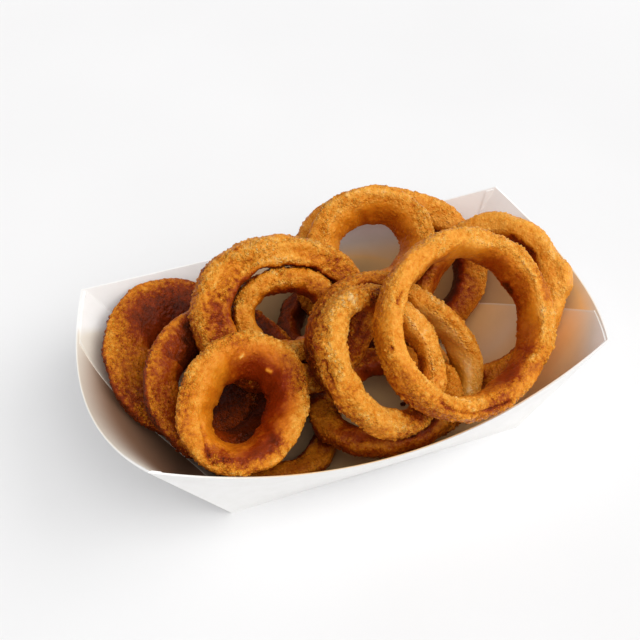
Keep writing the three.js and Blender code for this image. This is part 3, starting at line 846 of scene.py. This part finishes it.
def fried_batter(name, crust):
    """Deep-fried wheat batter, sandy and rather dry: golden where it stands proud, browner
    in the creases, partly painted highlight and shade, with toasted specks and pale grains of
    flour, which also stand in for small glints as a painted highlight. Its inner faces carry
    painted shade, deepened to amber. A little light goes into it, which warms its thin edges,
    and its fat gives the grains a weak broad gloss."""
    material, node = new_material(name)
    place = node("TexCoord").outputs["Object"]
    tone, inner, rough = (node("Attribute", {"attribute_name": key}).outputs["Fac"]
                          for key in ("tone", "inner", "rough"))
    # crumb-sized mottle: the noise's own range 0.35 to 0.65 becomes about +-0.3 of tone
    cloudy = node("TexNoise", Vector=place, Scale=1 / (2.4 * MM), Detail=4.0,
                  Roughness=0.8).outputs["Fac"]
    mottle = node("MapRange", {"clamp": False}, Value=cloudy, From_Min=0.35, From_Max=0.65,
                  To_Min=-0.28, To_Max=0.32).outputs[0]
    # sandy grains of about 1 mm stand out of the batter; some are pale flour, and these pale
    # dots also stand in for the grains' small glints, a painted highlight
    cells = node("TexVoronoi", Vector=place, Scale=1 / (1.1 * MM))
    grain = node("MapRange", {"interpolation_type": "SMOOTHSTEP"},
                 Value=cells.outputs["Distance"], From_Min=0.1, From_Max=0.62,
                 To_Min=1.0, To_Max=0.0).outputs[0]
    draw = node("SeparateColor", Color=cells.outputs["Color"]).outputs[0]
    floury_glint = node("MapRange", Value=draw, From_Min=0.7, From_Max=1.0, To_Min=0.14,
                  To_Max=0.5).outputs[0]
    speckle = node("Math", {"operation": "MULTIPLY_ADD"}, i0=grain, i1=floury_glint,
                   i2=mottle).outputs[0]
    mixed = node("Math", {"operation": "MULTIPLY_ADD"}, i0=speckle, i1=rough,
                 i2=tone).outputs[0]
    share = node("MapRange", Value=mixed, From_Min=-1.0, From_Max=1.0).outputs[0]
    dry = node("ValToRGB", {"stops": (
        (0.0, crust.burnt), (0.27, crust.brown), (0.5, crust.golden), (0.72, crust.light),
        (1.0, crust.pale))}, i0=share).outputs[0]
    # painted shade: the inner faces are deepened to amber, most on the side away from the lamps
    colour = node("Mix", {"data_type": "RGBA", "blend_type": "MULTIPLY"}, i0=inner, i6=dry,
                  i7=(*crust.soaked, 1)).outputs[2]
    grit = node("TexNoise", Vector=place, Scale=1 / (0.9 * MM), Detail=4.0,
                Roughness=0.65).outputs["Fac"]
    height = node("Math", {"operation": "ADD"}, i0=grit, i1=grain).outputs[0]
    strength = node("Math", {"operation": "MULTIPLY"}, i0=rough, i1=crust.grit).outputs[0]
    bump = node("Bump", Strength=strength, Distance=0.6 * MM, Height=height).outputs[0]
    dull = node("MapRange", Value=grit, From_Min=0.3, From_Max=0.7, To_Min=0.3,
                To_Max=0.52).outputs[0]
    # red light goes deepest into batter, blue least
    shader = node("BsdfPrincipled", Base_Color=colour, Roughness=dull, IOR=1.45, Normal=bump,
                  Subsurface_Weight=0.12, Subsurface_Scale=1.5 * MM,
                  Subsurface_Radius=(1.0, 0.35, 0.1), Specular_IOR_Level=0.17)
    node("OutputMaterial", Surface=shader.outputs[0])
    return material


def coated_paperboard(name, paper):
    """White bleached paperboard, folded and glued: almost matt, with a faint uneven
    formation of its fibres, tan where fat from the food has soaked the inside and brown
    nearest the food, partly from the fat and partly painted shade of the rings. At the left
    end it turns to a duller beige instead, a painted shade."""
    material, node = new_material(name)
    place = node("TexCoord").outputs["Object"]
    grease, dry = (node("Attribute", {"attribute_name": key}).outputs["Fac"]
                   for key in ("grease", "dry"))
    cloudy = node("TexNoise", Vector=place, Scale=1 / (9 * MM), Detail=4.0,
                  Roughness=0.6).outputs["Fac"]
    # the fibres are too fine to show, so they are drawn 1.2 mm coarse
    fibres = node("TexNoise", Vector=place, Scale=1 / (1.2 * MM), Detail=3.0,
                  Roughness=0.7).outputs["Fac"]
    board = node("ValToRGB", {"stops": ((0.3, paper.shade), (0.7, paper.board))},
                 i0=cloudy).outputs[0]
    soak = node("ValToRGB", {"stops": (
        (0.0, WHITE), (0.15, paper.film), (0.5, paper.greasy), (1.0, paper.soaked))},
        i0=grease).outputs[0]
    # painted shade: at the left end the colour turns to a duller beige
    left_end_ramp = node("ValToRGB", {"stops": (
        (0.0, WHITE), (0.2, paper.film), (1.0, paper.left_end_shaded))}, i0=grease).outputs[0]
    fat = node("Mix", {"data_type": "RGBA"}, i0=dry, i6=soak, i7=left_end_ramp).outputs[2]
    colour = node("Mix", {"data_type": "RGBA", "blend_type": "MULTIPLY"}, i0=1.0, i6=board,
                  i7=fat).outputs[2]
    bump = node("Bump", Strength=0.12, Distance=0.2 * MM, Height=fibres).outputs[0]
    shader = node("BsdfPrincipled", Base_Color=colour, Roughness=0.6, IOR=1.48, Normal=bump,
                  Specular_IOR_Level=0.3)
    node("OutputMaterial", Surface=shader.outputs[0])
    return material


def studio_floor(name, stage):
    """A pale matt laminate table, plain but for a very faint unevenness of its white."""
    material, node = new_material(name)
    place = node("TexCoord").outputs["Object"]
    cloudy = node("TexNoise", Vector=place, Scale=6.0, Detail=2.0,
                  Roughness=0.5).outputs["Fac"]
    dimmer = tuple(FLOOR_UNEVEN * value for value in stage.floor)
    colour = node("ValToRGB", {"stops": ((0.3, dimmer), (0.7, tuple(stage.floor)))},
                  i0=cloudy).outputs[0]
    shader = node("BsdfPrincipled", Base_Color=colour, Roughness=0.7, Specular_IOR_Level=0.2)
    node("OutputMaterial", Surface=shader.outputs[0])
    return material


# ---- settings ----
def amount_setting(name, text, default):
    return FloatProperty(name=name, description=text, default=default, min=0)


def colour_setting(name, text, code):
    return FloatVectorProperty(name=name, description=text, default=linear(code),
                               subtype="COLOR", size=3, min=0, max=1)


class CrustSettings(bpy.types.PropertyGroup):
    spacing: amount_setting("Point spacing", "Distance between a ring's points, in mm", 0.46)
    broad: amount_setting("Broad unevenness", "Height of its 8 mm unevenness, in mm", 0.22)
    middling: amount_setting("Middling bumps", "Height of the 4.5 mm bumps, in mm", 0.13)
    small: amount_setting("Small bumps", "Height of the 2 mm bumps, in mm", 0.15)
    fine: amount_setting("Fine unevenness", "Height of the finest unevenness, in mm", 0.2)
    grain: amount_setting("Grains", "How far grains stand out of the crust, as a factor", 1.05)
    # painted shade where another ring shuts a place in
    shut_in_shade: amount_setting("Moist", "How much browner it is where a ring shuts it in", 0.62)
    grit: amount_setting("Grit", "Strength of the finest relief", 1.0)
    burnt: colour_setting("Burnt", "Toasted specks", "#3c1402")
    brown: colour_setting("Brown", "Creases and well browned batter", "#923602")
    golden: colour_setting("Golden", "Most of the crust", "#d98117")
    light: colour_setting("Light", "Crests of the crust", "#f2aa42")
    pale: colour_setting("Pale", "Floury grains and flakes", "#ffd089")
    # the colour that the painted shade of the inner faces multiplies in
    soaked: colour_setting("Soaked", "What the fat takes from the inner faces", "#f0b768")


class TraySettings(bpy.types.PropertyGroup):
    board: colour_setting("Board", "Bleached board", "#fbfaf9")
    shade: colour_setting("Shade", "Denser patches of the board", "#f6f5f3")
    film: colour_setting("Film", "Board with a thin film of fat", "#efe8dc")
    greasy: colour_setting("Greasy", "Board that took up some fat", "#fccf8b")
    # near the food this brown is partly painted shade of the rings
    soaked: colour_setting("Soaked", "Board soaked through", "#9c8068")
    # painted shade: the duller beige of the left end
    left_end_shaded: colour_setting("Stained", "Board in which the fat has dried", "#a07a60")


class CrumbSettings(bpy.types.PropertyGroup):
    scale: amount_setting("Scale", "Size of the crumbs, as a factor", 1.0)


class StageSettings(bpy.types.PropertyGroup):
    floor: colour_setting("Floor", "Pale table", "#f0f0f1")
    sky: amount_setting("Fill", "Strength of the white light from all sides", 0.545)
    key: amount_setting("Windows", "Strength of the broad lights, as a factor", 1.0)


# ---- operators ----
class ONION_OT_tray(bpy.types.Operator):
    """Build the folded paper tray and the flaps glued inside it"""

    bl_idname = "onion.tray"
    bl_label = "Paper tray"

    def execute(self, context):
        paper = coated_paperboard("bleached_paperboard", context.scene.onion_tray)
        for name, (points, quads, inside) in (
            ("tray_board", tray_walls()), ("tray_flaps", tray_flaps()),
        ):
            piece = make_piece(name, points, quads, paper,
                               paper_attributes(points, inside), FOLD)
            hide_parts("paper_tray")
        return {"FINISHED"}


class ONION_OT_rings(bpy.types.Operator):
    """Build the fourteen battered and fried onion rings"""

    bl_idname = "onion.rings"
    bl_label = "Onion rings"

    def execute(self, context):
        crust = context.scene.onion_crust
        for number, ring in enumerate(RINGS, 1):
            material = fried_batter(f"fried_batter_{number:02d}", crust)
            make_ring(number, ring, crust, material)
        return {"FINISHED"}


class ONION_OT_crumbs(bpy.types.Operator):
    """Strew the few loose crumbs in the tray"""

    bl_idname = "onion.crumbs"
    bl_label = "Crumbs"

    def execute(self, context):
        scale = context.scene.onion_crumbs.scale
        material = fried_batter("fried_crumb", context.scene.onion_crust)
        skins = [crumb_skin(place, radius * scale, seed).reshape(-1, 3)
                 for seed, (place, radius, _) in enumerate(CRUMBS, 1)]
        quads = flip(grid_faces(*CRUMB_GRID, close_rows=True))
        points = np.concatenate(skins)
        count = len(skins[0])
        faces = np.concatenate([quads + count * i for i in range(len(skins))])
        tone = np.repeat([tone for _, _, tone in CRUMBS], count)
        make_piece("fallen_crumbs", points, faces, material,
                   {"tone": tone, "inner": np.zeros(len(tone)), "rough": np.ones(len(tone))})
        return {"FINISHED"}


class ONION_OT_stage(bpy.types.Operator):
    """Set up the floor, the soft light and the camera"""

    bl_idname = "onion.stage"
    bl_label = "Stage"

    def execute(self, context):
        stage = context.scene.onion_stage
        half = FLOOR_SIZE / 2
        corners = half * np.array([(-1, -1, 0), (1, -1, 0), (1, 1, 0), (-1, 1, 0)])
        mesh = bpy.data.meshes.new("studio_floor")
        mesh.from_pydata((corners * MM).tolist(), [], [(0, 1, 2, 3)])
        mesh.materials.append(studio_floor("matt_white_laminate", stage))
        floor = bpy.data.objects.new("studio_floor", mesh)
        context.scene.collection.objects.link(floor)

        world = bpy.data.worlds.new("studio_white")
        world.use_nodes = True
        back = world.node_tree.nodes["Background"]
        back.inputs["Color"].default_value = SKY_COLOUR
        back.inputs["Strength"].default_value = stage.sky
        context.scene.world = world

        for name, azimuth, elevation, strength, breadth in WINDOWS:
            light = bpy.data.lights.new(name, "SUN")
            light.energy = stage.key * strength
            light.angle = math.radians(breadth)
            light.color = WINDOW_COLOUR
            window = bpy.data.objects.new(name, light)
            azimuth, elevation = math.radians(azimuth), math.radians(elevation)
            level = math.cos(elevation)
            towards = Vector((level * math.cos(azimuth), level * math.sin(azimuth),
                              math.sin(elevation)))
            window.rotation_euler = (-towards).to_track_quat("-Z", "Y").to_euler()
            context.scene.collection.objects.link(window)

        lens = bpy.data.cameras.new("camera")
        lens.lens = LENS
        lens.sensor_width = SENSOR
        lens.clip_start = CLIP_START
        camera = bpy.data.objects.new("camera", lens)
        camera.location = Vector(CAMERA_PLACE) * MM
        gaze = Vector(CAMERA_AIM) * MM - camera.location
        camera.rotation_euler = gaze.to_track_quat("-Z", "Y").to_euler()
        context.scene.collection.objects.link(camera)
        context.scene.camera = camera
        context.scene.view_settings.view_transform = "Standard"
        return {"FINISHED"}


class ONION_PT_panel(bpy.types.Panel):
    """Lists the pieces in the sidebar of the 3D view"""

    bl_idname = "ONION_PT_panel"
    bl_label = "Onion rings"
    bl_space_type = "VIEW_3D"
    bl_region_type = "UI"
    bl_category = "Onion rings"

    def draw(self, context):
        for operator in OPERATORS:
            self.layout.operator(operator.bl_idname)


SETTINGS = {
    "onion_crust": CrustSettings,
    "onion_tray": TraySettings,
    "onion_crumbs": CrumbSettings,
    "onion_stage": StageSettings,
}
OPERATORS = (ONION_OT_tray, ONION_OT_rings, ONION_OT_crumbs, ONION_OT_stage)


def register():
    for kind in (*SETTINGS.values(), *OPERATORS, ONION_PT_panel):
        bpy.utils.register_class(kind)
    for key, kind in SETTINGS.items():
        setattr(bpy.types.Scene, key, PointerProperty(type=kind))


def unregister():
    for key in SETTINGS:
        delattr(bpy.types.Scene, key)
    for kind in (ONION_PT_panel, *reversed(OPERATORS), *SETTINGS.values()):
        bpy.utils.unregister_class(kind)


def main():
    register()
    bpy.ops.onion.tray()
    bpy.ops.onion.rings()
    bpy.ops.onion.crumbs()
    bpy.ops.onion.stage()


if __name__ == "__main__":
    main()
